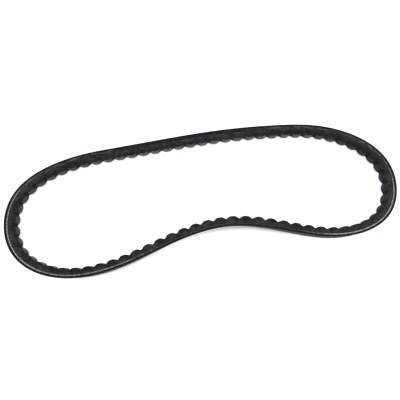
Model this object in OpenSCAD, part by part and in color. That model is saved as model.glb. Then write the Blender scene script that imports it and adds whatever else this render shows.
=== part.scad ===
// Cogged V-belt with raw edges, lying on one edge in a loose bean-shaped loop.
// The loop is one moulding of bonded layers. From the back inwards they are the backing fabric,
// the overcord rubber, two cushion plies with the wound tensile cord between them, the undercord
// rubber with its row of cogs, and the fabric that faces the cogs. Each layer is a section carried
// along the cord line, and neighbouring layers share the points of the seam between them.

/* [Belt] */
// Number of cogs round the loop
cog_count = 72; // [48:1:96]
// Spacing of the cogs along the cord line
cog_pitch = 10; // [8.5:0.1:12]
// Width across the back
top_width = 13; // [12:0.1:17]
// Thickness from the back to the crowns of the cogs
thickness = 8; // [7:0.1:11]
// Angle between the two flanks
flank_angle = 40; // [30:1:42]

/* [Cogs] */
// Height of a cog above the notches beside it
cog_depth = 2; // [1.6:0.1:3]
// Width of the flat floor of a notch
notch_flat = 0.8; // [0.5:0.1:1.4]
// Width of the flat crown of a cog
crown_flat = 3.6; // [2.6:0.1:4.4]
// Distance along the belt from the edge of the crown to the shoulder
shoulder_run = 1.5; // [0.8:0.1:1.6]
// Drop from the crown to the shoulder
shoulder_drop = 1; // [0.3:0.1:1.3]

/* [Layers] */
// Thickness of the backing fabric
backing_t = 0.6; // [0.4:0.05:0.9]
// Thickness of the overcord rubber
overcord_t = 0.6; // [0.4:0.05:1]
// Thickness of the cushion gum on each side of the cord
cushion_t = 0.3; // [0.2:0.05:0.5]
// Thickness of the fabric on the cogs
cog_fabric_t = 0.4; // [0.2:0.05:0.6]

/* [Tensile cord] */
// Diameter of the cord
cord_d = 1; // [0.7:0.05:1.2]
// Room between the cord and each cushion ply
cord_clear = 0.15; // [0.15:0.01:0.3]
// Least gap between two turns of the cord
turn_gap = 0.45; // [0.45:0.01:0.9]
// Room between the outermost turn and the flank
cord_edge = 0.05; // [0.02:0.01:0.3]

/* [Lay] */
// Greatest lean of the section, where the loop is pushed in
lean = 7; // [0:0.5:12]

/* [Hidden] */

// Points that pull the cord line into the shape of the loop, anticlockwise from the far side
lay_pull = [
    [65.5, 61], [19.5, 57], [-23.5, 49.5], [-68.5, 40.5], [-111, 33], [-156.5, 6], [-152.5, -45.5],
    [-109.5, -64.5], [-63, -53.5], [-24.5, -32], [19.5, -15.5], [65.5, -22], [108.5, -32], [155.5, -15.5],
    [156.5, 37.5], [107.5, 61.5]
];
// Place of the greatest lean, and how far it reaches to each side, counted in pull points
lean_place = 9.7;
lean_reach = 2.3;

// Depths below the back at which the layers meet
overcord_depth = backing_t;
upper_cushion_depth = overcord_depth + overcord_t;
slot_depth = upper_cushion_depth + cushion_t;
lower_cushion_depth = slot_depth + cord_d + 2 * cord_clear;
undercord_depth = lower_cushion_depth + cushion_t;
cord_depth = (slot_depth + lower_cushion_depth) / 2;

cord_length = cog_count * cog_pitch;
stations_per_cog = 2;
station_count = stations_per_cog * cog_count;
station_step = cog_pitch / stations_per_cog;

// Cord line: a closed cubic B-spline, with u counted in pull points
pull_count = len(lay_pull);
function pull(i) = lay_pull[(i + pull_count) % pull_count];
function curve_point(u) =
    let (i = floor(u), f = u - i)
    ((1 - f) ^ 3 * pull(i - 1) + (3 * f ^ 3 - 6 * f ^ 2 + 4) * pull(i)
        + (-3 * f ^ 3 + 3 * f ^ 2 + 3 * f + 1) * pull(i + 1) + f ^ 3 * pull(i + 2)) / 6;
function curve_run(u) =
    let (i = floor(u), f = u - i)
    (-(1 - f) ^ 2 * pull(i - 1) + (3 * f ^ 2 - 4 * f) * pull(i)
        + (-3 * f ^ 2 + 2 * f + 1) * pull(i + 1) + f ^ 2 * pull(i + 2)) / 2;

// Length run so far against u, and the scale that gives the loop its cord length
table_steps = 24;
table_end = pull_count * table_steps;
function table_stride(i) = norm(curve_point((i + 1) / table_steps) - curve_point(i / table_steps));
run_table = [
    for (i = 0, run = 0; i <= table_end; run = run + table_stride(i), i = i + 1) [run, i / table_steps]
];
drawn_length = run_table[table_end][0];
lay_scale = cord_length / drawn_length;
function curve_place(s) = lookup(s % cord_length / lay_scale, run_table);

// Lean of the section: a smooth rise and fall about one place on the loop
function lean_at(u) =
    let (away = abs(u - lean_place) / lean_reach)
    away < 1 ? lean * (1 + cos(180 * away)) / 2 : 0;

// Unit vector along the cord line
function along(s) =
    let (run = curve_run(curve_place(s)))
    run / norm(run);

// A point of the section at length s, at a depth below the back and a height above mid-width.
// The section turns about the cord line, and its lower back edge stays on the ground.
function laid_point(s, depth, height) =
    let (
        u = curve_place(s),
        middle = curve_point(u) * lay_scale,
        ahead = along(s),
        tilt = lean_at(u),
        inward = (depth - cord_depth) * cos(tilt) - height * sin(tilt),
        rise = depth * sin(tilt) + (height + top_width / 2) * cos(tilt)
    )
    [middle.x - ahead.y * inward, middle.y + ahead.x * inward, rise];

// The loop is centred on the box round its back edges
back_edges = [
    for (i = [0:station_count - 1], side = [-1, 1]) laid_point(i * station_step, 0, side * top_width / 2)
];
back_x = [for (p = back_edges) p.x];
back_y = [for (p = back_edges) p.y];
loop_centre = [(min(back_x) + max(back_x)) / 2, (min(back_y) + max(back_y)) / 2, 0];
function belt_point(s, depth, height) = laid_point(s, depth, height) - loop_centre;

// Half the width of the section at a depth, and points on its upper (1) and lower (-1) flank
function half_width(depth) = top_width / 2 - depth * tan(flank_angle / 2);
function flank_point(s, depth, side) = belt_point(s, depth, side * half_width(depth));

// A flank point on the straight run between two stations
function seam_point(s, depth, side) =
    let (i = floor(s / station_step), f = s / station_step - i)
    (1 - f) * flank_point(i * station_step, depth, side)
        + f * flank_point((i + 1) * station_step, depth, side);

// One cog as [length, depth] points, from the middle of one notch to the middle of the next
crown_start = (cog_pitch - crown_flat) / 2;
cog_rise = [
    [notch_flat / 2, thickness - cog_depth],
    [crown_start - shoulder_run, thickness - shoulder_drop],
    [crown_start, thickness]
];
cog_outline = concat(cog_rise, [for (i = [2:-1:0]) [cog_pitch - cog_rise[i].x, cog_rise[i].y]]);
outline_end = len(cog_outline) - 1;

// The same outline set back into the belt by the fabric, with mitred corners
function set_back(before, at, after) =
    let (
        run_in = (at - before) / norm(at - before),
        run_out = (after - at) / norm(after - at),
        side_in = [run_in.y, -run_in.x],
        side_out = [run_out.y, -run_out.x]
    )
    at + cog_fabric_t * (side_in + side_out) / (1 + side_in * side_out);
rubber_outline = [
    for (i = [0:outline_end]) set_back(
        i > 0 ? cog_outline[i - 1] : cog_outline[outline_end] - [cog_pitch, 0],
        cog_outline[i],
        i < outline_end ? cog_outline[i + 1] : cog_outline[0] + [cog_pitch, 0]
    )
];

// Winding of the cord: as many turns as the width holds, climbing steadily from flank to flank
cord_sides = 6;
ring_turn = 8;
wind_reach = half_width(cord_depth) - cord_edge - cord_d / 2 / cos(flank_angle / 2);
cord_turns = floor(2 * wind_reach / (cord_d + turn_gap));
function bend_at(i) =
    acos(min(1, along((i + station_count - 1) * station_step) * along((i + 1) * station_step)));
cord_stations = [
    for (i = [0:station_count - 1]) if (i % stations_per_cog == 0 || bend_at(i) > ring_turn) i
];
function cord_ring(turn, i) =
    let (
        s = i * station_step,
        height = wind_reach * (2 * (turn + s / cord_length) / cord_turns - 1)
    )
    [
        for (k = [0:cord_sides - 1])
            let (a = 360 * k / cord_sides)
            belt_point(s, cord_depth + cord_d / 2 * cos(a), height + cord_d / 2 * sin(a))
    ];
cord_rings = concat(
    [for (turn = [0:cord_turns - 1], i = cord_stations) cord_ring(turn, i)],
    [cord_ring(cord_turns, 0)]
);

// Least gap from each ring of the cord to the ring one turn further on
turn_rings = len(cord_stations);
least_gap = min([
    for (i = [0:len(cord_rings) - 1 - turn_rings], p = cord_rings[i], q = cord_rings[i + turn_rings])
        norm(p - q)
]);
echo(cord_turns = cord_turns, least_gap_between_turns = least_gap);

// Triangles between two neighbouring rings of points, over a list of rings
function skin(rings, sides, closed) = [
    for (i = [0:rings - (closed ? 1 : 2)], j = [0:sides - 1])
        let (
            here = i * sides,
            next = (i + 1) % rings * sides,
            k = (j + 1) % sides
        )
        each [[here + j, next + k, here + k], [here + j, next + j, next + k]]
];
function points_of(rings) = [for (ring = rings) each ring];

// A section carried all the way round the loop
module loop_solid(rings) {
    polyhedron(points_of(rings), skin(len(rings), len(rings[0]), true), convexity = 10);
}

// A tube with two flat ends
module tube_solid(rings) {
    sides = len(rings[0]);
    last = (len(rings) - 1) * sides;
    start_cap = [for (k = [1:sides - 2]) [0, k, k + 1]];
    end_cap = [for (k = [1:sides - 2]) [last, last + k + 1, last + k]];
    polyhedron(points_of(rings), concat(skin(len(rings), sides, false), start_cap, end_cap), convexity = 10);
}

// A plain layer between two depths
module layer(top, bottom) {
    loop_solid([
        for (i = [0:station_count - 1])
            let (s = i * station_step)
            [
                flank_point(s, top, 1), flank_point(s, top, -1),
                flank_point(s, bottom, -1), flank_point(s, bottom, 1)
            ]
    ]);
}

module backing_fabric() {
    color("#1c1c1b") layer(0, overcord_depth);
}

module overcord_rubber() {
    color("#232323") layer(overcord_depth, upper_cushion_depth);
}

module upper_cushion_gum() {
    color("#34332f") layer(upper_cushion_depth, slot_depth);
}

module tensile_cord() {
    color("#cdc6a4") tube_solid(cord_rings);
}

module lower_cushion_gum() {
    color("#34332f") layer(lower_cushion_depth, undercord_depth);
}

module undercord_rubber() {
    color("#2c2e2f") loop_solid([
        for (cog = [0:cog_count - 1], p = rubber_outline)
            let (s = cog * cog_pitch + p.x)
            [
                seam_point(s, undercord_depth, 1), seam_point(s, undercord_depth, -1),
                flank_point(s, p.y, -1), flank_point(s, p.y, 1)
            ]
    ]);
}

module cog_fabric() {
    color("#454b52") loop_solid([
        for (cog = [0:cog_count - 1], i = [0:outline_end])
            let (
                inner = rubber_outline[i] + [cog * cog_pitch, 0],
                outer = cog_outline[i] + [cog * cog_pitch, 0]
            )
            [
                flank_point(inner.x, inner.y, 1), flank_point(inner.x, inner.y, -1),
                flank_point(outer.x, outer.y, -1), flank_point(outer.x, outer.y, 1)
            ]
    ]);
}

backing_fabric();
overcord_rubber();
upper_cushion_gum();
tensile_cord();
lower_cushion_gum();
undercord_rubber();
cog_fabric();
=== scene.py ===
# %% [markdown]
# # A cogged V-belt lying loose on a white table
# A V-belt carries power between two grooved pulleys. Its slanted flanks wedge into the grooves, and
# the cogs on its inner side let it bend round small pulleys. It is laid up in layers and cured into one
# loop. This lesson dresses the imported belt: each bonded layer becomes a finer surface, worked out with
# numpy along the same line as the solid parts, and gets a finish of its own.

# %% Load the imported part
import math

import bpy
import numpy as np
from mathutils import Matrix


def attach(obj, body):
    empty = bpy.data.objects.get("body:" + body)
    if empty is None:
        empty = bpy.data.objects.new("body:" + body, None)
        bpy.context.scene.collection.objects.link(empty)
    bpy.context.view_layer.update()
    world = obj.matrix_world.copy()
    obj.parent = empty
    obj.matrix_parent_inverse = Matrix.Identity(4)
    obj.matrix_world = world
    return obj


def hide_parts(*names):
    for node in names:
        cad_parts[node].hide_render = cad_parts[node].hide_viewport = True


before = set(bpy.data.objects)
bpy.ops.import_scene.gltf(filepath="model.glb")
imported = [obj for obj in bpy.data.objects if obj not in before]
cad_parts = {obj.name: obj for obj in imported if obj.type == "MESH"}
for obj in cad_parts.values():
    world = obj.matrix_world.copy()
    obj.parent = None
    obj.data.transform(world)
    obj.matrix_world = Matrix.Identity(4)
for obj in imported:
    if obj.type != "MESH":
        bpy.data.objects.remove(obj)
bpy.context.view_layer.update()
print("layers:", ", ".join(sorted(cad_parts)))

# %% [markdown]
# ## Camera
# The picture is taken from almost straight above, a little on the near side. A camera can be dragged
# into place by eye, but then nothing says how it got there. Here it is set by where it looks, how far
# it is, how steeply it looks down, how much it is rolled, and its focal length in pixels, from which
# the lens follows. With the turns taken in the order ZYX, the first is the roll about the line of sight.

# %% Camera
PICTURE = 400
FOCAL_PIXELS = 354.5
SENSOR = 36.0
LOOK_DOWN = math.radians(78.66)
LOOK_FROM = 0.2939
LOOK_AT = np.array([-0.0018, 0.001, 0.0])
ROLL = 0.0015

camera = bpy.data.objects.new("camera", bpy.data.cameras.new("camera"))
camera.data.sensor_width = SENSOR
camera.data.lens = SENSOR * FOCAL_PIXELS / PICTURE
camera.location = LOOK_AT + LOOK_FROM * np.array([0, -math.cos(LOOK_DOWN), math.sin(LOOK_DOWN)])
camera.rotation_mode = "ZYX"
camera.rotation_euler = (math.pi / 2 - LOOK_DOWN, 0, ROLL)
bpy.context.scene.collection.objects.link(camera)
bpy.context.scene.camera = camera
print("lens, mm:", round(camera.data.lens, 2))

# %% [markdown]
# ## The belt's sizes
# These are the sizes of the real section: 13 mm across the back, 8 mm thick, flanks 40 degrees apart,
# and 72 cogs 10 mm apart along the cord. Depths are counted from the back inwards, because the layers
# are laid up from the back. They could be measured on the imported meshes, but written out they can be
# read. They are the solid part's own sizes, so that each surface fits its solid.

# %% Sizes of the belt
MM = 0.001
COGS = 72
COG_PITCH = 10 * MM
TOP_WIDTH = 13 * MM
THICKNESS = 8 * MM
FLANK_SLOPE = math.tan(math.radians(20))

BACKING_DEPTH = 0.6 * MM
OVERCORD_DEPTH = 1.2 * MM
CORD_DEPTH = 2.15 * MM
GUM_DEPTH = 3.1 * MM
COG_DEPTH = 2 * MM
NOTCH_FLAT = 0.8 * MM
CROWN_FLAT = 3.6 * MM
SHOULDER_RUN = 1.5 * MM
SHOULDER_DROP = 1 * MM
CLOTH = 0.4 * MM

CORD_LENGTH = COGS * COG_PITCH
print("cord line, mm:", round(1000 * CORD_LENGTH, 1))

# %% [markdown]
# ## The line that the belt lies along
# A loose belt has no straight runs and no true arcs. Lines and arcs joined end to end would show a kink
# in the light at each joint, so the cord line is a closed cubic B-spline: a few pull points round the
# loop, each one drawing the smooth line towards itself. A table of the length run so far turns a length
# along the belt into a place on the spline.

# %% Cord line
PULL_POINTS = MM * np.array([
    [65.5, 61], [19.5, 57], [-23.5, 49.5], [-68.5, 40.5], [-111, 33], [-156.5, 6], [-152.5, -45.5],
    [-109.5, -64.5], [-63, -53.5], [-24.5, -32], [19.5, -15.5], [65.5, -22], [108.5, -32], [155.5, -15.5],
    [156.5, 37.5], [107.5, 61.5],
])
PULLS = len(PULL_POINTS)
TABLE_STEPS = 24


def point_weights(f):
    """Share of the four nearest pull points in a point of the line, at a fraction f between two."""
    return np.stack([(1 - f)**3, 3 * f**3 - 6 * f**2 + 4, -3 * f**3 + 3 * f**2 + 3 * f + 1, f**3], -1) / 6


def run_weights(f):
    """Share of the same four pull points in the direction of the line: the slope of point_weights."""
    return np.stack([-(1 - f)**2, 3 * f**2 - 4 * f, -3 * f**2 + 2 * f + 1, f**2], -1) / 2


def pulled(u, weights):
    """Sum of the four pull points nearest to u, each times its weight, for a whole array of u."""
    first = np.floor(u).astype(int)
    nearest = (first[..., None] + np.arange(-1, 3)) % PULLS
    return np.einsum("...k,...kc->...c", weights(u - first), PULL_POINTS[nearest])


table_u = np.linspace(0, PULLS, PULLS * TABLE_STEPS + 1)
table_strides = np.linalg.norm(np.diff(pulled(table_u, point_weights), axis=0), axis=1)
table_run = np.concatenate([[0], np.cumsum(table_strides)])
LAY_SCALE = CORD_LENGTH / table_run[-1]


def place_of(s):
    """Place on the spline, counted in pull points, at a length s along the belt."""
    return np.interp(np.mod(s, CORD_LENGTH) / LAY_SCALE, table_run, table_u)


print("drawn length, mm:", round(1000 * table_run[-1], 1), "scaled by", round(LAY_SCALE, 4))

# %% [markdown]
# ## The section, carried along the line
# Everywhere on the belt is a length along it, a depth below the back and a height above mid-width.
# Where the near run is pushed in, the belt leans outwards by a few degrees and stays on the table on
# the lower edge of its back. A curve with a bevel profile would also sweep a section, but it can't lean
# or keep an edge on the table, so one function turns those three numbers into a point.

# %% From belt to space
LEAN = math.radians(7)
LEAN_PLACE = 9.7
LEAN_REACH = 2.3


def lean_at(u):
    """Lean of the section: half of one plus a cosine, over the reach to each side of its place."""
    away = np.minimum(np.abs(u - LEAN_PLACE) / LEAN_REACH, 1)
    return LEAN * (1 + np.cos(math.pi * away)) / 2


def laid(s, depth, height):
    """The cord line's point, moved inwards and upwards by the depth and height turned by the lean."""
    u = place_of(s)
    middle = LAY_SCALE * pulled(u, point_weights)
    run = pulled(u, run_weights)
    ahead = run / np.linalg.norm(run, axis=-1, keepdims=True)
    tilt = lean_at(u)
    inward = (depth - CORD_DEPTH) * np.cos(tilt) - height * np.sin(tilt)
    rise = depth * np.sin(tilt) + (height + TOP_WIDTH / 2) * np.cos(tilt)
    x = middle[..., 0] - ahead[..., 1] * inward
    y = middle[..., 1] + ahead[..., 0] * inward
    return np.stack(np.broadcast_arrays(x, y, rise), -1)


def half_width(depth):
    """Half the width of the section at a depth: it narrows by the flank's slope."""
    return TOP_WIDTH / 2 - depth * FLANK_SLOPE


back_stations = np.linspace(0, CORD_LENGTH, 2 * COGS, endpoint=False)[:, None]
back_edges = laid(back_stations, 0, TOP_WIDTH / 2 * np.array([-1, 1])).reshape(-1, 3)
LOOP_CENTRE = (back_edges.min(0) + back_edges.max(0)) / 2 * [1, 1, 0]


def belt_point(s, depth, height):
    """A point of the belt with the loop's box centred on the origin."""
    return laid(s, depth, height) - LOOP_CENTRE


print("loop centre, mm:", (1000 * LOOP_CENTRE).round(3))

# %% [markdown]
# ## From a grid of points to a mesh
# Every layer is a closed section carried round a closed loop, so its points make a grid that wraps
# both ways. A Screw or Array modifier could repeat one section, but not along this line. One helper
# writes the faces, a map that runs along and round the piece, and any value that a finish needs at each
# point, such as how far a corner is rubbed.

# %% Mesh helper
SHARP = math.radians(40)


def wrapped_mesh(name, points, along, round_it, closed=True, **values):
    """A mesh from points[station, place round the section]. Faces join each point to the next one round
    and along; along and round_it give the map's two lengths, with one value more than there are points
    where the grid wraps. An open tube gets a fan over each end."""
    stations, places = points.shape[:2]
    rows = np.arange(stations if closed else stations - 1)[:, None]
    cols = np.arange(places)[None, :]
    next_row, next_col = (rows + 1) % stations, (cols + 1) % places
    corners = [(rows, cols), (rows, next_col), (next_row, next_col), (next_row, cols)]
    quads = np.stack(np.broadcast_arrays(*[r * places + c for r, c in corners]), -1).reshape(-1, 4)
    map_along = np.stack(np.broadcast_arrays(*[along[rows + i] + 0 * cols for i in (0, 0, 1, 1)]), -1)
    map_round = np.stack(np.broadcast_arrays(*[round_it[cols + i] + 0 * rows for i in (0, 1, 1, 0)]), -1)
    corner_map = np.stack([map_along, map_round], -1).reshape(-1, 2)
    faces = quads.tolist()
    if not closed:
        last = (stations - 1) * places
        faces += [list(range(places))[::-1], list(range(last, last + places))]
        corner_map = np.concatenate([corner_map, np.zeros((2 * places, 2))])
    mesh = bpy.data.meshes.new(name)
    mesh.from_pydata(points.reshape(-1, 3), [], faces)
    map_layer = mesh.uv_layers.new(name="belt_map")
    map_layer.data.foreach_set("uv", corner_map.astype(np.float32).ravel())
    for value_name, value in values.items():
        held = mesh.attributes.new(value_name, "FLOAT", "POINT")
        spread = np.broadcast_to(value, (stations, places)).astype(np.float32)
        held.data.foreach_set("value", spread.ravel())
    mesh.shade_smooth()
    mesh.set_sharp_from_angle(angle=SHARP)
    return mesh


# %% [markdown]
# ## From a mesh to a layer of the belt
# Each surface stands for one imported solid, which is hidden here and stays what the physics sees. The
# layers are bonded and nothing turns, so all of them ride on the belt's one body: the helper parents each
# layer to that body's empty, where it stays in place, and hides its solid.

# %% Layer helper


def add_layer(name, mesh, node):
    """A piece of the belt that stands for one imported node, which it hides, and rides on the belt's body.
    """
    piece = bpy.data.objects.new(name, mesh)
    bpy.context.scene.collection.objects.link(piece)
    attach(piece, "root")
    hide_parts(node)
    print(name, "faces:", len(mesh.polygons))
    return piece


# %% [markdown]
# ## Backing cloth
# The back of the belt is a rubberised cloth. It is a thin strip with its edges in the flanks, and its
# two outer corners are free, so the cutting knife and handling leave them slightly round. A Bevel
# modifier would round all its edges, also those bonded to the next layer, so three points of the section
# stand on each free corner instead. They also say how much the corner is rubbed.

# %% Backing cloth
STATIONS_PER_COG = 12
ROUND = 0.25 * MM
ROUND_MID = 0.07 * MM
stations = np.linspace(0, CORD_LENGTH, STATIONS_PER_COG * COGS, endpoint=False)
stations_closed = np.append(stations, CORD_LENGTH)


def strip(name, depth, side, drawn_in, **values):
    """A strip from its section's places: their depths, their flanks (1 upper, -1 lower), and how far
    each is drawn in from the flank."""
    depth, side, drawn_in = np.array(depth), np.array(side), np.array(drawn_in)
    height = side * (half_width(depth) - drawn_in)
    points = belt_point(stations[:, None], depth, height)
    stride = np.hypot(np.diff(depth, append=depth[0]), np.diff(height, append=height[0]))
    round_it = np.concatenate([[0], np.cumsum(stride)])
    return wrapped_mesh(name, points, stations_closed, round_it, **values)


backing_mesh = strip(
    "backing_fabric",
    depth=[BACKING_DEPTH, ROUND, ROUND_MID, 0, 0, ROUND_MID, ROUND, BACKING_DEPTH],
    side=[1, 1, 1, 1, -1, -1, -1, -1],
    drawn_in=[0, 0, ROUND_MID, ROUND, ROUND, ROUND_MID, 0, 0],
    rub=np.array([0, 0.4, 1, 0.4, 0.4, 1, 0.4, 0]),
)
backing = add_layer("backing_cloth", backing_mesh, "backing_fabric")

# %% [markdown]
# ## Overcord rubber and cushion gum
# Under the backing lie the overcord rubber and two plies of cushion gum, which close round the cord up
# to its middle. All are plain strips with their edges in the flanks. Boxes along a curve would do on a
# straight belt, but the strips above already follow the lean and the flanks. Where the cord lies just
# under the cut face, the knife has scraped the gum pale in a streaky line. A value called ghost marks
# where along the loop that line shows, and it is strongest next to the cord.

# %% Overcord rubber and cushion gum
GHOST_PLACES = [0, 0.8, 2.8, 3.6, 5.0, 5.4, 14.0, 14.6, 16]
GHOST_SHARES = [1, 0, 0, 1, 1, 0, 0, 1, 1]


def by_place(s, places, shares):
    """A value that changes along the belt: straight lines between shares given at places on the spline."""
    return np.interp(place_of(s), places, shares)[:, None]


def plain_strip(name, top, bottom, **values):
    """A strip with a four-cornered section between two depths."""
    return strip(name, [top, top, bottom, bottom], [1, -1, -1, 1], [0, 0, 0, 0], **values)


overcord = add_layer(
    "overcord_strip", plain_strip("overcord", BACKING_DEPTH, OVERCORD_DEPTH),
    "overcord_rubber",
)
ghost = by_place(stations, GHOST_PLACES, GHOST_SHARES)
upper_gum = add_layer(
    "upper_gum_ply", plain_strip("upper_gum", OVERCORD_DEPTH, CORD_DEPTH, ghost=ghost * [0, 0, 1, 1]),
    "upper_cushion_gum",
)
lower_gum = add_layer(
    "lower_gum_ply", plain_strip("lower_gum", CORD_DEPTH, GUM_DEPTH, ghost=ghost * [1, 1, 0, 0]),
    "lower_cushion_gum",
)

# %% [markdown]
# ## The outline of a cog
# A cog is a rounded trapezoid between two narrow notches. Its six corners are the same as in the
# solid part. Arcs would need a radius for each corner, and the radii would have to be worked out again
# when a size changes. So each corner is rounded by a conic that runs between the middles of its two
# sides and needs no radii: the more the corner weighs, the closer the line keeps to it. The cloth lies
# on this line, and the rubber under the cloth is the same line moved in by the cloth's thickness.

# %% Cog outline
POINTS_PER_CORNER = 5
CORNER_WEIGHT = 2.0
CROWN_START = (COG_PITCH - CROWN_FLAT) / 2
cog_rise = np.array([
    [NOTCH_FLAT / 2, THICKNESS - COG_DEPTH],
    [CROWN_START - SHOULDER_RUN, THICKNESS - SHOULDER_DROP],
    [CROWN_START, THICKNESS],
])
cog_fall = cog_rise[::-1] * [-1, 1] + [COG_PITCH, 0]
cog_corners = np.concatenate([cog_rise, cog_fall])
one_cog_on = np.array([[COG_PITCH, 0]])
with_neighbours = np.concatenate([
    cog_corners[-1:] - one_cog_on,
    cog_corners,
    cog_corners[:1] + one_cog_on,
])
before, after = with_neighbours[:-2], with_neighbours[2:]


def rounded(t):
    """Points of all corners at parameters t, as a conic: the middle of the side before, the corner and the
    middle of the side after, in the shares of a parabola but with the corner's share times its weight.
    Also the direction of the line there."""
    corner = cog_corners[:, None]
    start, end = (before[:, None] + corner) / 2, (corner + after[:, None]) / 2
    left, done = (1 - t)[None, :, None], t[None, :, None]
    pull = 2 * CORNER_WEIGHT * left * done
    line = (left**2 * start + pull * corner + done**2 * end) / (left**2 + pull + done**2)
    turning = left**2 * (corner - start) + done**2 * (end - corner)
    run = CORNER_WEIGHT * turning + left * done * (end - start)
    return line.reshape(-1, 2), run.reshape(-1, 2)


outline, outline_run = rounded(np.linspace(0, 1, POINTS_PER_CORNER, endpoint=False))
outline_side = outline_run[:, ::-1] * [1, -1]
outline_side /= np.linalg.norm(outline_side, axis=1, keepdims=True)
under_cloth = outline + CLOTH * outline_side
print("points on a cog:", len(outline), "deepest, mm:", round(1000 * outline[:, 1].max(), 2))

# %% [markdown]
# ## Undercord rubber
# This is the body of the belt, and its cut flanks are most of what shows. It runs from the gum down
# to the cloth on the cogs. Cutting notches out of a plain strip would leave long thin faces, so each
# station is a column down the lower flank and back up the upper one, as long as the cog is deep there.

# %% Undercord rubber
FLANK_ROWS = 6


def round_the_loop(one_cog):
    """The outline of every cog in turn, as lengths along the belt and depths."""
    steps = COG_PITCH * np.arange(COGS)
    return (one_cog[None, :, 0] + steps[:, None]).ravel(), np.tile(one_cog[:, 1], COGS)


rubber_s, rubber_depth = round_the_loop(under_cloth)
down = np.linspace(0, 1, FLANK_ROWS)
column = np.concatenate([down, down[::-1]])
column_side = np.repeat([-1, 1], FLANK_ROWS)
flank_depth = GUM_DEPTH + column * (rubber_depth[:, None] - GUM_DEPTH)
flank_points = belt_point(rubber_s[:, None], flank_depth, column_side * half_width(flank_depth))
flank_map = MM * np.arange(2 * FLANK_ROWS + 1)
print("columns on the flanks:", len(rubber_s), "of", FLANK_ROWS, "points")

# %% [markdown]
# ## Marks and tones along the flanks
# The flanks of a belt that has been handled aren't even. Near the notches a few tan fibres are frayed
# out, some stretches are darker, and some are paler and slightly olive. Painting masks by hand would need
# an image, so these are values along the loop, held by the mesh at its points. One list holds both tones:
# darker below zero and paler above it. Each also has shares by depth, and the threads gather towards the
# notches, with a few left on the crowns.

# %% Undercord rubber with its marks
THREAD_PLACES = [0.6, 1.2, 3.3, 4.2, 12.6, 13.2, 14.4, 15.0]
THREAD_SHARES = [0.2, 1.0, 1.0, 0.1, 0.1, 0.5, 0.5, 0.2]
# Tones by stretch, cause not known: below zero the flank is darker, above zero paler and slightly olive
TONE_PLACES = [0.0, 0.6, 3.4, 3.8, 4.4, 4.8, 6.3, 6.9, 7.9, 8.3, 11.2, 11.8, 12.9, 13.6, 14.0, 16.0]
TONE_SHARES = [-0.8, 0.0, 0.0, -0.3, -0.3, -0.1, 0.0, -0.7, -0.7, 0.0, 0.0, 0.5, 1.0, 0.9, -0.9, -0.8]
DARKER_DEPTHS, DARKER_BY_DEPTH = [3.5 * MM, 4.5 * MM], [0, 1]
PALER_DEPTHS, PALER_BY_DEPTH = [5.05 * MM, 7 * MM], [0.35, 1]
CROWN_THREADS, THREAD_CURVE = 0.4, 1.5

notch_share = np.clip((THICKNESS - rubber_depth) / COG_DEPTH, CROWN_THREADS, 1)[:, None]
by_notch = notch_share * column**THREAD_CURVE
# Tones by stretch along the loop
stretch_tone = by_place(rubber_s, TONE_PLACES, TONE_SHARES)
undercord_mesh = wrapped_mesh(
    "undercord_rubber", flank_points, np.append(rubber_s, CORD_LENGTH + rubber_s[0]), flank_map,
    threads=by_notch * by_place(rubber_s, THREAD_PLACES, THREAD_SHARES),
    below_back=flank_depth,
    oiled=np.maximum(-stretch_tone, 0) * np.interp(flank_depth, DARKER_DEPTHS, DARKER_BY_DEPTH),
    dusted=np.maximum(stretch_tone, 0) * np.interp(flank_depth, PALER_DEPTHS, PALER_BY_DEPTH),
)
undercord = add_layer("undercord_body", undercord_mesh, "undercord_rubber")

# %% [markdown]
# ## Cloth on the cogs
# A stretchy cloth is moulded over the cogs. It follows the outline, one cloth thickness thick, and its
# cut edges show on the flanks as a fine line. A Solidify modifier on a single sheet would do for the
# thickness, but not for the slightly round outer corners, so the section has its own list of places.
# The crowns are polished by wear. In some stretches they are painted a paler blue-grey, as light and
# glints on them, and are polished more, so the mesh holds a value along the loop for that.

# %% Cog cloth
CLOTH_PLACES = np.array([
    # share of the thickness, flank, drawn in from the flank, rub, share of the outer face
    [0.00, 1, 0.00, 0.0, 0.0],
    [0.00, -1, 0.00, 0.0, 0.0],
    [0.65, -1, 0.00, 0.0, 0.0],
    [0.90, -1, 0.02, 0.5, 0.5],
    [1.00, -1, 0.07, 1.0, 1.0],
    [1.00, -1, 1.50, 0.0, 1.0],
    [1.00, 1, 1.50, 0.0, 1.0],
    [1.00, 1, 0.07, 1.0, 1.0],
    [0.90, 1, 0.02, 0.5, 0.5],
    [0.65, 1, 0.00, 0.0, 0.0],
])
# Shares by stretch of painted light on the crowns (paler crowns and glints) and of extra polish
LIGHT_AND_POLISH_PLACES = [0, 2.6, 3.6, 5.0, 5.9, 6.4, 8.0, 8.6, 12.0, 13.0, 14.8, 15.4, 16]
LIGHT_AND_POLISH_SHARES = [1, 1, 0.45, 0.4, 0.3, 1.0, 1.0, 0.3, 0.3, 0.0, 0.0, 1, 1]

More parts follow.
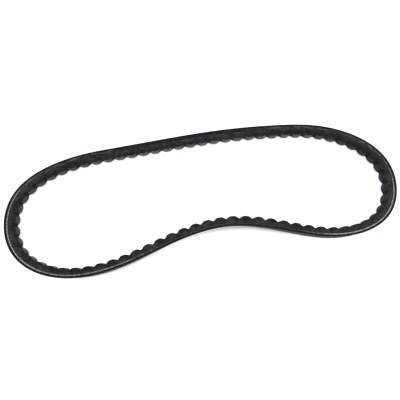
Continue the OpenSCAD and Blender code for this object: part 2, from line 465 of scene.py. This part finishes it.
share, cloth_side, cloth_drawn, cloth_rub, cloth_face = CLOTH_PLACES.T
outer_s, outer_depth = round_the_loop(outline)
cloth_s = rubber_s[:, None] + share * (outer_s - rubber_s)[:, None]
cloth_depth = rubber_depth[:, None] + share * (outer_depth - rubber_depth)[:, None]
cloth_height = cloth_side * (half_width(cloth_depth) - cloth_drawn * MM)
cloth_section = np.stack([cloth_depth[0], cloth_height[0]])
cloth_stride = np.hypot(*np.diff(cloth_section, axis=1, append=cloth_section[:, :1]))
outline_stride = np.hypot(np.diff(outer_s, append=outer_s[0] + CORD_LENGTH),
                          np.diff(outer_depth, append=outer_depth[0]))
cog_cloth_mesh = wrapped_mesh(
    "cog_cloth", belt_point(cloth_s, cloth_depth, cloth_height),
    np.concatenate([[0], np.cumsum(outline_stride)]), np.concatenate([[0], np.cumsum(cloth_stride)]),
    rub=cloth_rub,
    crown=cloth_face * np.clip(1 - (THICKNESS - outer_depth[:, None]) / COG_DEPTH, 0, 1),
    # Painted light and extra polish on the crowns, by stretch
    bloom=by_place(outer_s, LIGHT_AND_POLISH_PLACES, LIGHT_AND_POLISH_SHARES),
)
cog_cloth = add_layer("cog_cloth", cog_cloth_mesh, "cog_fabric")

# %% [markdown]
# ## The way of the tensile cord
# One twisted cord is wound round the belt as a helix before the rubber is cured. The belt is then cut
# from a wide sleeve and ground, so the outermost turns run out through the flanks at a slant. A spiral
# curve goes round a cylinder and not round this loop, so the cord's way is a row of lengths along the
# belt, each with the height that the cord has climbed to. The steps are short where the cord shows and
# longer where the gum hides it.

# %% Way of the cord
CORD_RADIUS = 0.5 * MM
CLIMB = 1.467 * MM
RUN_OUT = 7.6
PLANED_AWAY = 0.95
SEEN_STEP, HIDDEN_STEP = 0.5 * MM, 2.5 * MM
CORD_HALF_WIDTH = half_width(CORD_DEPTH)

# Turns from where the cord's middle meets the flank to where nearly all of it is planed away
bite = PLANED_AWAY * CORD_RADIUS / math.cos(math.atan(FLANK_SLOPE)) / CLIMB
run_in = RUN_OUT - 2 * CORD_HALF_WIDTH / CLIMB
ends = np.array([run_in - bite, run_in + bite, RUN_OUT - bite, RUN_OUT + bite]) * CORD_LENGTH
wound = np.concatenate([
    np.arange(ends[0], ends[1], SEEN_STEP),
    np.arange(ends[1], ends[2], HIDDEN_STEP),
    np.arange(ends[2], ends[3], SEEN_STEP),
])
winding_height = CORD_HALF_WIDTH + CLIMB * (wound / CORD_LENGTH - RUN_OUT)
print("cord wound, m:", round(ends[3] - ends[0], 2), "in rings:", len(wound))

# %% [markdown]
# ## Tensile cord
# The cord is laid up from three strands, and the knife and the grinding wheel plane it flat where it
# comes out of a flank. A bevelled curve would give a round tube, but no twist and no planed face. So the
# tube is a grid of rings with three lobes, and what stands past a flank is pressed back to it. A value
# called bare says where the knife has cleaned the cord and where rubber is still smeared over it.

# %% Tensile cord
CORD_SIDES = 16
STRANDS = 3
STRAND_LAY = 8 * MM
STRAND_RELIEF = 0.14
PROUD = 0.03 * MM
BARE_PLACES = [3.6, 4.6, 5.3, 6.4, 6.8, 8.1, 8.9, 11.2, 12.0, 13.3, 14.0, 15.2]
BARE_SHARES = [0.0, 0.4, 1.0, 1.0, 0.65, 0.65, 0.0, 0.0, 0.9, 0.7, 0.35, 0.2]

turn_angle = np.linspace(0, 2 * math.pi, CORD_SIDES, endpoint=False)
lobe = np.abs(np.cos(STRANDS / 2 * (turn_angle - 2 * math.pi * wound[:, None] / STRAND_LAY)))
radius = CORD_RADIUS * (1 - STRAND_RELIEF + STRAND_RELIEF * lobe)
cord_depth = CORD_DEPTH + radius * np.cos(turn_angle)
cord_height = winding_height[:, None] + radius * np.sin(turn_angle)
flank_limit = half_width(cord_depth) + PROUD
cord_points = belt_point(wound[:, None], cord_depth, np.clip(cord_height, -flank_limit, flank_limit))
cord_mesh = wrapped_mesh(
    "tensile_cord", cord_points, wound / STRAND_LAY, np.linspace(0, 1, CORD_SIDES + 1), closed=False,
    bare=by_place(wound, BARE_PLACES, BARE_SHARES),
)
cord = add_layer("tensile_cord_winding", cord_mesh, "tensile_cord")

# %% [markdown]
# ## Shader helpers
# A finish is a small graph of nodes. It can be wired by hand in the shader editor, and these helpers do
# the same from code: one node, and the few kinds of arithmetic that every finish below needs. With them
# a material reads as a list of what it is made of.

# %% Shader helpers


def node(tree, kind, inputs=None, **settings):
    """One shader node: its settings, and for each input a plain value or the output that feeds it."""
    made = tree.nodes.new("ShaderNode" + kind)
    for name, value in settings.items():
        setattr(made, name, value)
    for name, value in (inputs or {}).items():
        socket = made.inputs[name]
        if isinstance(value, bpy.types.NodeSocket):
            tree.links.new(value, socket)
        else:
            socket.default_value = value
    return made


def sums(tree, operation, *values):
    """The result of one Math node on one, two or three values."""
    return node(tree, "Math", dict(enumerate(values)), operation=operation).outputs[0]


def ramp(tree, value, low, high, to_low=0.0, to_high=1.0):
    """Smooth step: to_low below low, to_high above high, and a smooth rise between."""
    made = node(tree, "MapRange", {0: value, 1: low, 2: high, 3: to_low, 4: to_high},
                interpolation_type="SMOOTHSTEP")
    return made.outputs[0]


def mixed(tree, share, first, second):
    """The first colour where share is 0, the second where it is 1."""
    return node(tree, "Mix", {0: share, 6: first, 7: second}, data_type="RGBA").outputs[2]


def noise(tree, vector, scale, detail=2.0, roughness=0.5):
    """Soft clouds from 0 to 1, at so many to the metre."""
    made = node(tree, "TexNoise", {"Vector": vector, "Scale": scale, "Detail": detail,
                                   "Roughness": roughness})
    return made.outputs["Fac"]


# %% [markdown]
# ## Effects that several finishes share
# Grain, fibres, weave, rubbing and dust turn up in more than one finish. They could be copied into each
# material, but a change would then have to be made in each. So every effect is one node group with
# named inputs and outputs, placed in the materials with its own values.

# %% Node groups


def group(name, inputs, outputs):
    """An empty node group with named inputs, each with its first value, and named outputs."""
    tree = bpy.data.node_groups.new(name, "ShaderNodeTree")
    for label, first in inputs.items():
        kind = "NodeSocketVector" if first is None else "NodeSocketFloat"
        socket = tree.interface.new_socket(label, in_out="INPUT", socket_type=kind)
        if first is not None:
            socket.default_value = first
    for label in outputs:
        tree.interface.new_socket(label, in_out="OUTPUT", socket_type="NodeSocketFloat")
    print("effect:", name, "gives", ", ".join(outputs))
    return tree, tree.nodes.new("NodeGroupInput").outputs, tree.nodes.new("NodeGroupOutput").inputs


def use(tree, effect, inputs):
    """Places a node group in a material and gives its outputs."""
    made = tree.nodes.new("ShaderNodeGroup")
    made.node_tree = effect
    for name, value in inputs.items():
        if isinstance(value, bpy.types.NodeSocket):
            tree.links.new(value, made.inputs[name])
        else:
            made.inputs[name].default_value = value
    return made.outputs


# %% [markdown]
# ### Ground rubber
# The flanks are cut and ground, which leaves a fine grain with coarser patches under it. One noise looks
# the same at every distance, so the shade is the mean of two sizes.

# %% Ground rubber
COARSE_SCALE = 0.3

ground_rubber, ask, give = group("ground_rubber", {"Vector": None, "Grains per metre": 1500.0},
                                 ["Shade", "Height"])
coarse_per_metre = sums(ground_rubber, "MULTIPLY", ask["Grains per metre"], COARSE_SCALE)
coarse = noise(ground_rubber, ask["Vector"], coarse_per_metre, detail=3.0)
fine = noise(ground_rubber, ask["Vector"], ask["Grains per metre"], detail=4.0, roughness=0.65)
half_fine = sums(ground_rubber, "MULTIPLY", fine, 0.5)
ground_rubber.links.new(sums(ground_rubber, "MULTIPLY_ADD", coarse, 0.5, half_fine), give["Shade"])
ground_rubber.links.new(fine, give["Height"])

# %% [markdown]
# ### Fibre flecks
# Short fibres in the rubber end in the cut face as small flecks. As meshes they would be thousands. A
# texture of cells gives each cell a chance colour instead, so a share of the cells can be picked and a
# round spot drawn in the middle of each.

# %% Fibre flecks
fibre_flecks, ask, give = group("fibre_flecks", {"Vector": None, "Cells per metre": 900.0,
                                                 "Size": 0.3, "Share": 0.4}, ["Mask", "Pick"])
cells = node(fibre_flecks, "TexVoronoi", {"Vector": ask["Vector"], "Scale": ask["Cells per metre"]})
picks = node(fibre_flecks, "SeparateColor", {"Color": cells.outputs["Color"]}).outputs
spot = ramp(fibre_flecks, cells.outputs["Distance"], low=ask["Size"], high=0.0)
chosen = sums(fibre_flecks, "LESS_THAN", picks["Red"], ask["Share"])
fibre_flecks.links.new(sums(fibre_flecks, "MULTIPLY", spot, chosen), give["Mask"])
fibre_flecks.links.new(picks["Green"], give["Pick"])

# %% [markdown]
# ### Plain weave
# In a plain weave the two sets of yarns take turns on top. Each set is a row of sine humps, and a
# chequer of the yarns' numbers says which set is on top. This way needs no image of cloth.

# %% Plain weave
plain_weave, ask, give = group("plain_weave", {"Vector": None, "Yarns per metre": 1200.0}, ["Height"])
yarns = node(plain_weave, "VectorMath", {0: ask["Vector"], "Scale": ask["Yarns per metre"]},
             operation="SCALE").outputs[0]
across = node(plain_weave, "SeparateXYZ", {"Vector": yarns}).outputs


def humps(along):
    """Height of a row of yarns: the size of the sine of half a turn for each yarn."""
    wave = sums(plain_weave, "SINE", sums(plain_weave, "MULTIPLY", along, math.pi))
    return sums(plain_weave, "ABSOLUTE", wave)


yarn_numbers = [sums(plain_weave, "FLOOR", across[axis]) for axis in "XY"]
parity = sums(plain_weave, "FLOORED_MODULO", sums(plain_weave, "ADD", *yarn_numbers), 2.0)
top = node(plain_weave, "Mix", {0: parity, 2: humps(across["X"]), 3: humps(across["Y"])}).outputs[0]
plain_weave.links.new(top, give["Height"])

# %% [markdown]
# ### Rubbed corners
# Handling rubs the corners pale, but only in patches. A Bevel node finds every edge of a mesh, also those
# bonded to the next layer, so the mesh says itself where its free corners are, and a noise breaks them up.

# %% Rubbed corners
rubbed_corner, ask, give = group("rubbed_corner", {"Vector": None, "Corner": 0.0,
                                                   "Patches per metre": 400.0}, ["Mask"])
rubs = noise(rubbed_corner, ask["Vector"], ask["Patches per metre"], detail=4.0, roughness=0.6)
patches = ramp(rubbed_corner, rubs, low=0.4, high=0.7)
rubbed_corner.links.new(sums(rubbed_corner, "MULTIPLY", patches, ask["Corner"]), give["Mask"])

# %% [markdown]
# ### Settled dust
# A little dust settles everywhere, as faint clouds with a few specks. Loose grains could be scattered as
# meshes, but they are far smaller than a pixel. So it is a mask, and each finish chooses its colour.

# %% Settled dust
CLOUDS_PER_METRE, CLOUD_SHARE = 60.0, 0.35
SPECKS_PER_METRE, SPECK_EDGE, SPECK_CORE = 420.0, 0.09, 0.03

settled_dust, ask, give = group("settled_dust", {"Vector": None, "Amount": 0.3}, ["Mask"])
clouds = ramp(settled_dust, noise(settled_dust, ask["Vector"], CLOUDS_PER_METRE, detail=3.0),
              low=0.45, high=0.75)
faint_clouds = sums(settled_dust, "MULTIPLY", clouds, CLOUD_SHARE)
cells = node(settled_dust, "TexVoronoi", {"Vector": ask["Vector"], "Scale": SPECKS_PER_METRE})
specks = ramp(settled_dust, cells.outputs["Distance"], low=SPECK_EDGE, high=SPECK_CORE)
dust = sums(settled_dust, "MAXIMUM", specks, faint_clouds)
settled_dust.links.new(sums(settled_dust, "MULTIPLY", dust, ask["Amount"]), give["Mask"])

# %% [markdown]
# ## Finishes
# All the layers are nearly black, so what tells them apart is gloss, grain and a slight tint. Each
# finish starts from the same empty material with a Principled shader, and its plain numbers are set on
# that shader. Patterns read the piece's own coordinates, or its map where they follow the belt.

# %% Material helper


def finish_of(piece, name, roughness, specular):
    """A new material on the piece: its tree, its Principled shader, and the piece's own coordinates."""
    material = bpy.data.materials.new(name)
    material.use_nodes = True
    tree = material.node_tree
    shader = tree.nodes["Principled BSDF"]
    shader.inputs["Roughness"].default_value = roughness
    shader.inputs["Specular IOR Level"].default_value = specular
    piece.data.materials.clear()
    piece.data.materials.append(material)
    print("finish:", name, "on", piece.name)
    return tree, shader, node(tree, "TexCoord").outputs["Object"]


def attribute(tree, name):
    """A value that the mesh holds at each point."""
    return node(tree, "Attribute", attribute_name=name).outputs["Fac"]


def belt_map(tree, turn=0.0):
    """The piece's own map, in metres along and round it, turned by an angle."""
    own = node(tree, "UVMap", uv_map="belt_map").outputs["UV"]
    return node(tree, "Mapping", {"Vector": own, "Rotation": (0, 0, turn)}).outputs[0]


def rough_up(tree, shader, height, distance):
    """Bumps the surface by a height from 0 to 1, over a real distance."""
    bump = node(tree, "Bump", {"Height": height, "Distance": distance})
    tree.links.new(bump.outputs["Normal"], shader.inputs["Normal"])


# %% [markdown]
# ### Backing cloth
# A black canvas soaked in rubber, laid on the bias so that it stretches with the belt. Black with a noise
# would pass from above, but from the side the back is all that shows. So the weave runs along the piece's
# map, turned by 45 degrees, and fades where rubber fills it. Rubbed corners are paler.

# %% Finish of the backing cloth
BETWEEN_YARNS = (0.004, 0.004, 0.0035, 1)
YARN_TOPS = (0.015, 0.015, 0.012, 1)
FILLED_WEAVE = (0.010, 0.010, 0.008, 1)
RUBBED_CANVAS = (0.04, 0.04, 0.036, 1)
CANVAS_DUST = (0.08, 0.08, 0.07, 1)
FILLED_SHARE, RUBBED_SHARE, CANVAS_GRAIN = 0.5, 0.15, 0.3

tree, shader, here = finish_of(backing, "backing_canvas", roughness=0.55, specular=0.2)
weave = use(tree, plain_weave, {"Vector": belt_map(tree, math.radians(45)), "Yarns per metre": 1100.0})
grain = use(tree, ground_rubber, {"Vector": here, "Grains per metre": 900.0})
worn = use(tree, rubbed_corner, {"Vector": here, "Corner": attribute(tree, "rub")})["Mask"]
dusty = use(tree, settled_dust, {"Vector": here, "Amount": 0.2})["Mask"]
canvas = mixed(tree, ramp(tree, weave["Height"], low=0.2, high=0.9), BETWEEN_YARNS, YARN_TOPS)
canvas = mixed(tree, sums(tree, "MULTIPLY", grain["Shade"], FILLED_SHARE), canvas, FILLED_WEAVE)
canvas = mixed(tree, sums(tree, "MULTIPLY", worn, RUBBED_SHARE), canvas, RUBBED_CANVAS)
tree.links.new(mixed(tree, dusty, canvas, CANVAS_DUST), shader.inputs["Base Color"])
relief = sums(tree, "MULTIPLY_ADD", grain["Height"], CANVAS_GRAIN, weave["Height"])
rough_up(tree, shader, relief, distance=0.12 * MM)

# %% [markdown]
# ### Overcord rubber
# A soft black rubber, the darkest line on the flank. A single flat black would look like a gap, so it
# keeps the grain of the cut and a trace of dust.

# %% Finish of the overcord rubber
OVERCORD_PITS = (0.003, 0.003, 0.0033, 1)
OVERCORD_TOPS = (0.011, 0.0115, 0.0125, 1)
OVERCORD_DUST = (0.10, 0.10, 0.09, 1)

tree, shader, here = finish_of(overcord, "overcord_black", roughness=0.65, specular=0.05)
grain = use(tree, ground_rubber, {"Vector": here, "Grains per metre": 800.0})
dusty = use(tree, settled_dust, {"Vector": here, "Amount": 0.15})["Mask"]
black = mixed(tree, ramp(tree, grain["Shade"], low=0.38, high=0.62), OVERCORD_PITS, OVERCORD_TOPS)
tree.links.new(mixed(tree, dusty, black, OVERCORD_DUST), shader.inputs["Base Color"])
rough_up(tree, shader, grain["Height"], distance=0.1 * MM)

# %% [markdown]
# ### Cushion gum
# The gum is a little greyer than the overcord. Where the mesh's ghost value is high, the scraped line
# over the hidden cord shows. An even line would look printed, so a noise stretched along the belt breaks
# it into streaks.

# %% Finish of the cushion gum
GUM_PITS = (0.006, 0.0065, 0.007, 1)
GUM_TOPS = (0.021, 0.0225, 0.0245, 1)
SCRAPED_GUM = (0.145, 0.15, 0.157, 1)
STREAKS_PER_METRE = (130.0, 900.0, 1.0)

for ply in (upper_gum, lower_gum):
    tree, shader, here = finish_of(ply, ply.name + "_rubber", roughness=0.65, specular=0.06)
    grain = use(tree, ground_rubber, {"Vector": here, "Grains per metre": 800.0})
    gum = mixed(tree, ramp(tree, grain["Shade"], low=0.38, high=0.62), GUM_PITS, GUM_TOPS)
    stretched = node(tree, "Mapping", {"Vector": belt_map(tree), "Scale": STREAKS_PER_METRE}).outputs[0]
    streaks = noise(tree, stretched, scale=1.0, detail=3.0, roughness=0.6)
    scraped = ramp(tree, streaks, low=0.42, high=0.60)
    gum = mixed(tree, sums(tree, "MULTIPLY", attribute(tree, "ghost"), scraped), gum, SCRAPED_GUM)
    tree.links.new(gum, shader.inputs["Base Color"])
    rough_up(tree, shader, grain["Height"], distance=0.1 * MM)

# %% [markdown]
# ### Undercord rubber
# The flank is ground, fibre-filled rubber, lighter next to the gum and darker towards the cogs. A fade
# by place in the room would slip round the bends, so the mesh's depth value steers it. Pale and tan
# fibres end in it as flecks, and the tones by stretch from the mesh go on last: some stretches darker,
# others paler and slightly olive.

# %% Finish of the undercord rubber
UPPER_TOPS, LOWER_TOPS = (0.030, 0.033, 0.035, 1), (0.0095, 0.0104, 0.0108, 1)
UPPER_PITS, LOWER_PITS = (0.005, 0.0055, 0.006, 1), (0.001, 0.001, 0.001, 1)
BLUE_FIBRE, PALE_FIBRE = (0.024, 0.027, 0.036, 1), (0.055, 0.058, 0.060, 1)
TAN_FIBRE = (0.11, 0.085, 0.04, 1)
# Colours of the darker stretches and of the paler, slightly olive ones; their cause is not known
DARKER_STRETCH_COLOUR = (0.001, 0.001, 0.001, 1)
PALER_STRETCH_OLIVE = (0.16, 0.165, 0.125, 1)
FLANK_DUST = (0.09, 0.09, 0.085, 1)
DARKEST_DEPTH = 7 * MM
PALE_SHARE, PALE_RELIEF = 0.7, 0.5

tree, shader, here = finish_of(undercord, "undercord_fibre_rubber", roughness=0.75, specular=0.2)
grain = use(tree, ground_rubber, {"Vector": here, "Grains per metre": 520.0})
pale = use(tree, fibre_flecks, {"Vector": here, "Cells per metre": 620.0, "Size": 0.5, "Share": 0.35})
tan = use(tree, fibre_flecks, {"Vector": here, "Cells per metre": 520.0, "Size": 0.45, "Share": 0.22})
dusty = use(tree, settled_dust, {"Vector": here, "Amount": 0.2})["Mask"]
lower = ramp(tree, attribute(tree, "below_back"), low=GUM_DEPTH, high=DARKEST_DEPTH)
tops = mixed(tree, lower, UPPER_TOPS, LOWER_TOPS)
pits = mixed(tree, lower, UPPER_PITS, LOWER_PITS)
flank = mixed(tree, ramp(tree, grain["Shade"], low=0.42, high=0.58), pits, tops)
fibre = mixed(tree, pale["Pick"], BLUE_FIBRE, PALE_FIBRE)
flank = mixed(tree, sums(tree, "MULTIPLY", pale["Mask"], PALE_SHARE), flank, fibre)
flank = mixed(tree, sums(tree, "MULTIPLY", tan["Mask"], attribute(tree, "threads")), flank, TAN_FIBRE)
# Tones by stretch from the mesh: darker here, paler and olive on the raised grain below
flank = mixed(tree, attribute(tree, "oiled"), flank, DARKER_STRETCH_COLOUR)
grain_share = ramp(tree, grain["Height"], low=0.3, high=0.7, to_low=0.04, to_high=0.12)
flank = mixed(tree, sums(tree, "MULTIPLY", attribute(tree, "dusted"), grain_share), flank, PALER_STRETCH_OLIVE)
tree.links.new(mixed(tree, dusty, flank, FLANK_DUST), shader.inputs["Base Color"])
dullness = ramp(tree, grain["Shade"], low=0.3, high=0.7, to_low=0.85, to_high=0.65)
tree.links.new(dullness, shader.inputs["Roughness"])
relief = sums(tree, "MULTIPLY_ADD", pale["Mask"], PALE_RELIEF, grain["Height"])
rough_up(tree, shader, relief, distance=0.14 * MM)

# %% [markdown]
# ### Cog cloth
# The cloth on the cogs is knitted and thinly coated with rubber. In the notches it stays matt, and its
# colour there is painted dark as the shade of the recess. On the crowns it is polished. Painting them
# paler would show from every side, so a coat layer mirrors the table there, which is what makes the cogs
# stand out on the far side. Still, in some stretches a crown is painted paler as light and glints, and its
# corners are frayed and have a painted highlight where they are rubbed.

# %% Finish of the cog cloth
KNIT_PITS = (0.0042, 0.0066, 0.0115, 1)
KNIT_TOPS = (0.0122, 0.0196, 0.0350, 1)
# Painted light: the paler blue-grey of lit crowns and glints
CROWN_PAINTED_LIGHT = (0.057, 0.0705, 0.088, 1)
# Painted shade: the dark cloth in the notches, as shade in the recess; the cut edges take it too
NOTCH_SHADE_AND_CUT_EDGE = (0.006, 0.006, 0.006, 1)
FRAYED_YARN = (0.09, 0.075, 0.045, 1)
# Painted highlight on the rubbed corners of the crowns
RIM_PAINTED_HIGHLIGHT = (0.148, 0.167, 0.186, 1)
FRAYED_SHARE, RIM_HIGHLIGHT_SHARE, KNIT_GRAIN = 0.5, 0.6, 0.4
PLAIN_POLISH, STRETCH_POLISH = 0.4, 0.65
POLISH_ROUGHNESS = 0.25

tree, shader, here = finish_of(cog_cloth, "cog_knit", roughness=0.7, specular=0.12)
shader.inputs["Coat Roughness"].default_value = POLISH_ROUGHNESS
weave = use(tree, plain_weave, {"Vector": belt_map(tree), "Yarns per metre": 1500.0})
grain = use(tree, ground_rubber, {"Vector": here, "Grains per metre": 900.0})
# Here the rubbed corners only place the painted highlight on the crowns
worn = use(tree, rubbed_corner, {"Vector": here, "Corner": attribute(tree, "rub")})["Mask"]
loose = use(tree, fibre_flecks, {"Vector": here, "Cells per metre": 600.0, "Size": 0.4, "Share": 0.3})
on_crown = ramp(tree, attribute(tree, "crown"), low=0.2, high=0.95)
bloom = attribute(tree, "bloom")
knit = mixed(tree, ramp(tree, weave["Height"], low=0.1, high=0.9), KNIT_PITS, KNIT_TOPS)
grain_share = ramp(tree, grain["Shade"], low=0.35, high=0.65, to_low=0.3)
# Painted light on the crowns, broken up by the grain
painted_crown_light = sums(tree, "MULTIPLY", bloom, grain_share)
knit = mixed(tree, painted_crown_light, knit, CROWN_PAINTED_LIGHT)
# Painted shade: off the crowns the cloth takes the dark notch colour
knit = mixed(tree, on_crown, NOTCH_SHADE_AND_CUT_EDGE, knit)
frayed = sums(tree, "MULTIPLY", loose["Mask"], ramp(tree, attribute(tree, "rub"), low=0.1, high=0.5))
knit = mixed(tree, sums(tree, "MULTIPLY", frayed, FRAYED_SHARE), knit, FRAYED_YARN)
# Painted highlight on rubbed crown corners, where the crowns have painted light
painted_rim_highlight = sums(tree, "MULTIPLY", worn, painted_crown_light)
knit = mixed(tree, sums(tree, "MULTIPLY", painted_rim_highlight, RIM_HIGHLIGHT_SHARE), knit, RIM_PAINTED_HIGHLIGHT)
tree.links.new(knit, shader.inputs["Base Color"])
even = ramp(tree, grain["Shade"], low=0.3, high=0.7, to_low=0.25, to_high=0.55)
shine = sums(tree, "MULTIPLY", on_crown, even)
rubbed_up = sums(tree, "MULTIPLY_ADD", bloom, STRETCH_POLISH, PLAIN_POLISH)
tree.links.new(sums(tree, "MULTIPLY", rubbed_up, shine), shader.inputs["Coat Weight"])
relief = sums(tree, "MULTIPLY_ADD", grain["Height"], KNIT_GRAIN, weave["Height"])
rough_up(tree, shader, relief, distance=0.06 * MM)

# %% [markdown]
# ### Tensile cord
# The cord is pale polyester yarn. Stripes straight across it would cut through its strands. Its map counts
# strand lays along it and turns round it, so the grooves, painted dark as the shade between the strands,
# follow the twist of the mesh. Rubber stays smeared over it where the mesh's bare value is low, and a
# noise breaks the smear into patches.

# %% Finish of the tensile cord
YARN_SHADE = (0.36, 0.365, 0.31, 1)
YARN_LIGHT = (0.61, 0.615, 0.53, 1)
# Painted shade in the grooves between the strands
STRAND_GROOVE_SHADE = (0.05, 0.048, 0.04, 1)
SMEARED_RUBBER = (0.020, 0.020, 0.019, 1)
FILAMENTS_PER_METRE, SMEARS_PER_METRE = 2600.0, 330.0
GROOVE_SHARE, SMEAR_SHARE = 0.7, 0.45

tree, shader, here = finish_of(cord, "cord_yarn", roughness=0.6, specular=0.3)
twist = node(tree, "SeparateXYZ", {"Vector": belt_map(tree)}).outputs
strand_turn = sums(tree, "SUBTRACT", twist["Y"], twist["X"])
strand = sums(tree, "FRACT", sums(tree, "MULTIPLY", strand_turn, float(STRANDS)))
from_middle = sums(tree, "ABSOLUTE", sums(tree, "SUBTRACT", strand, 0.5))
groove = ramp(tree, from_middle, low=0.25, high=0.48)
filaments = noise(tree, here, FILAMENTS_PER_METRE, detail=3.0, roughness=0.7)
smears = noise(tree, here, SMEARS_PER_METRE, detail=4.0, roughness=0.6)
smear = ramp(tree, smears, low=0.35, high=0.65)
yarn = mixed(tree, filaments, YARN_SHADE, YARN_LIGHT)
# Painted shade in the strand grooves
yarn = mixed(tree, sums(tree, "MULTIPLY", groove, GROOVE_SHARE), yarn, STRAND_GROOVE_SHADE)
covered = sums(tree, "SUBTRACT", 1.0, attribute(tree, "bare"))
cover = ramp(tree, sums(tree, "MULTIPLY_ADD", smear, SMEAR_SHARE, covered), low=0.05, high=1.1)
tree.links.new(mixed(tree, cover, yarn, SMEARED_RUBBER), shader.inputs["Base Color"])
rough_up(tree, shader, sums(tree, "SUBTRACT", filaments, groove), distance=0.1 * MM)

# %% [markdown]
# ## Table
# The belt lies on the lower edge of its back, on a flat table that reaches past every view. A plane from
# the menu would have to be scaled, so its four corners are written here. It is no part of the belt.

# %% Table
TABLE_HALF = 3.0

table_corners = TABLE_HALF * np.array([[-1, -1, 0], [1, -1, 0], [1, 1, 0], [-1, 1, 0]])
table_mesh = bpy.data.meshes.new("table")
table_mesh.from_pydata(table_corners, [], [[0, 1, 2, 3]])
table = bpy.data.objects.new("table", table_mesh)
bpy.context.scene.collection.objects.link(table)
print("table, m:", 2 * TABLE_HALF)

# %% [markdown]
# ## White sheet
# The table reads as clean white and still holds the belt's contact shadow. More light would bleach the
# belt as well, so the sheet glows a little where the eye or a reflection meets it. It glows less in two
# hollows along the near run, where the shadow shows: a deep one under the pushed-in stretch and a faint
# one to its left. Far from the lamps it glows more, so that no grey line shows where it meets the sky.

# %% White sheet
SHEET_WHITE = (0.8, 0.8, 0.8, 1)
SHEET_GLOW, MIRRORED_GLOW = 0.74, 0.42
FAR_GLOW, FAR_STARTS, FAR_ENDS = 0.9, 0.5, 1.8
# Each hollow: its middle, how far its least glow reaches, where it ends, and the least glow
HOLLOWS = [
    ((0.041, -0.024, 0.0), 0.011, 0.064, 0.37),
    ((-0.068, -0.058, 0.0), 0.0, 0.055, 0.54),
]

white_sheet = bpy.data.materials.new("white_sheet")
white_sheet.use_nodes = True
tree = white_sheet.node_tree
tree.nodes.clear()
path = node(tree, "LightPath").outputs
here = node(tree, "TexCoord").outputs["Object"]
glow_here = SHEET_GLOW
for middle, dimmest, end, least in HOLLOWS:
    away = node(tree, "VectorMath", {0: here, 1: middle}, operation="DISTANCE").outputs["Value"]
    hollow = ramp(tree, away, low=dimmest, high=end, to_low=least, to_high=SHEET_GLOW)
    glow_here = sums(tree, "MINIMUM", glow_here, hollow)
from_belt = node(tree, "VectorMath", {0: here}, operation="LENGTH").outputs["Value"]
far_off = ramp(tree, from_belt, low=FAR_STARTS, high=FAR_ENDS, to_high=FAR_GLOW)
glow_here = sums(tree, "MAXIMUM", glow_here, far_off)
by_eye = sums(tree, "MULTIPLY", path["Is Camera Ray"], glow_here)
by_mirror = sums(tree, "MAXIMUM", path["Is Glossy Ray"], path["Is Transmission Ray"])
paper = node(tree, "BsdfDiffuse", {"Color": SHEET_WHITE})
glow = node(tree, "Emission", {"Strength": sums(tree, "MULTIPLY_ADD", by_mirror, MIRRORED_GLOW, by_eye)})
both = node(tree, "AddShader", {0: paper.outputs[0], 1: glow.outputs[0]})
node(tree, "OutputMaterial", {"Surface": both.outputs[0]})
table_mesh.materials.append(white_sheet)
print("sheet glows:", SHEET_GLOW, "and in hollows:", [least for *_, least in HOLLOWS])

# %% [markdown]
# ## Sky
# A dim sky with a trace of blue fills the shadows, and it is plain white where the eye or a reflection
# meets it. A bright even sky alone would light the belt too, but it would leave no shadow at all.

# %% Sky
SKY_LIGHT = 0.22
SKY_TINT = (0.92, 0.96, 1.0, 1)
SKY_SEEN = (1.0, 1.0, 1.0, 1)

world = bpy.data.worlds.new("white_room")
bpy.context.scene.world = world
world.use_nodes = True
tree = world.node_tree
tree.nodes.clear()
path = node(tree, "LightPath").outputs
mirrored = sums(tree, "MAXIMUM", path["Is Glossy Ray"], path["Is Transmission Ray"])
seen = sums(tree, "MAXIMUM", path["Is Camera Ray"], mirrored)
strength = node(tree, "Mix", {0: seen, 2: SKY_LIGHT, 3: 1.0}).outputs[0]
sky = node(tree, "Background", {"Color": mixed(tree, seen, SKY_TINT, SKY_SEEN), "Strength": strength})
node(tree, "OutputWorld", {"Surface": sky.outputs[0]})
print("sky lights:", SKY_LIGHT)

# %% [markdown]
# ## Lamps
# One square lamp hangs almost straight above, a little to the left and behind, so the shadow falls
# towards the near side. A second, weak one stands on the right. A sun lamp would draw a hard edge to the
# shadow, and these are wide enough to soften it. The level is plain: a colour comes out about as it is
# written.

# %% Lamps


def softbox(name, place, size, power):
    """A square lamp that looks at the middle of the loop."""
    lamp = bpy.data.lights.new(name, "AREA")
    lamp.shape = "SQUARE"
    lamp.size = size
    lamp.energy = power
    box = bpy.data.objects.new(name, lamp)
    box.location = place
    box.rotation_euler = (-box.location).to_track_quat("-Z", "Y").to_euler()
    bpy.context.scene.collection.objects.link(box)
    print(name, "W:", power)


softbox("lamp_above", (-0.15, 0.1, 1.5), size=0.35, power=16.5)
softbox("lamp_right", (0.8, -0.2, 0.7), size=0.5, power=1.5)
bpy.context.scene.view_settings.view_transform = "Standard"
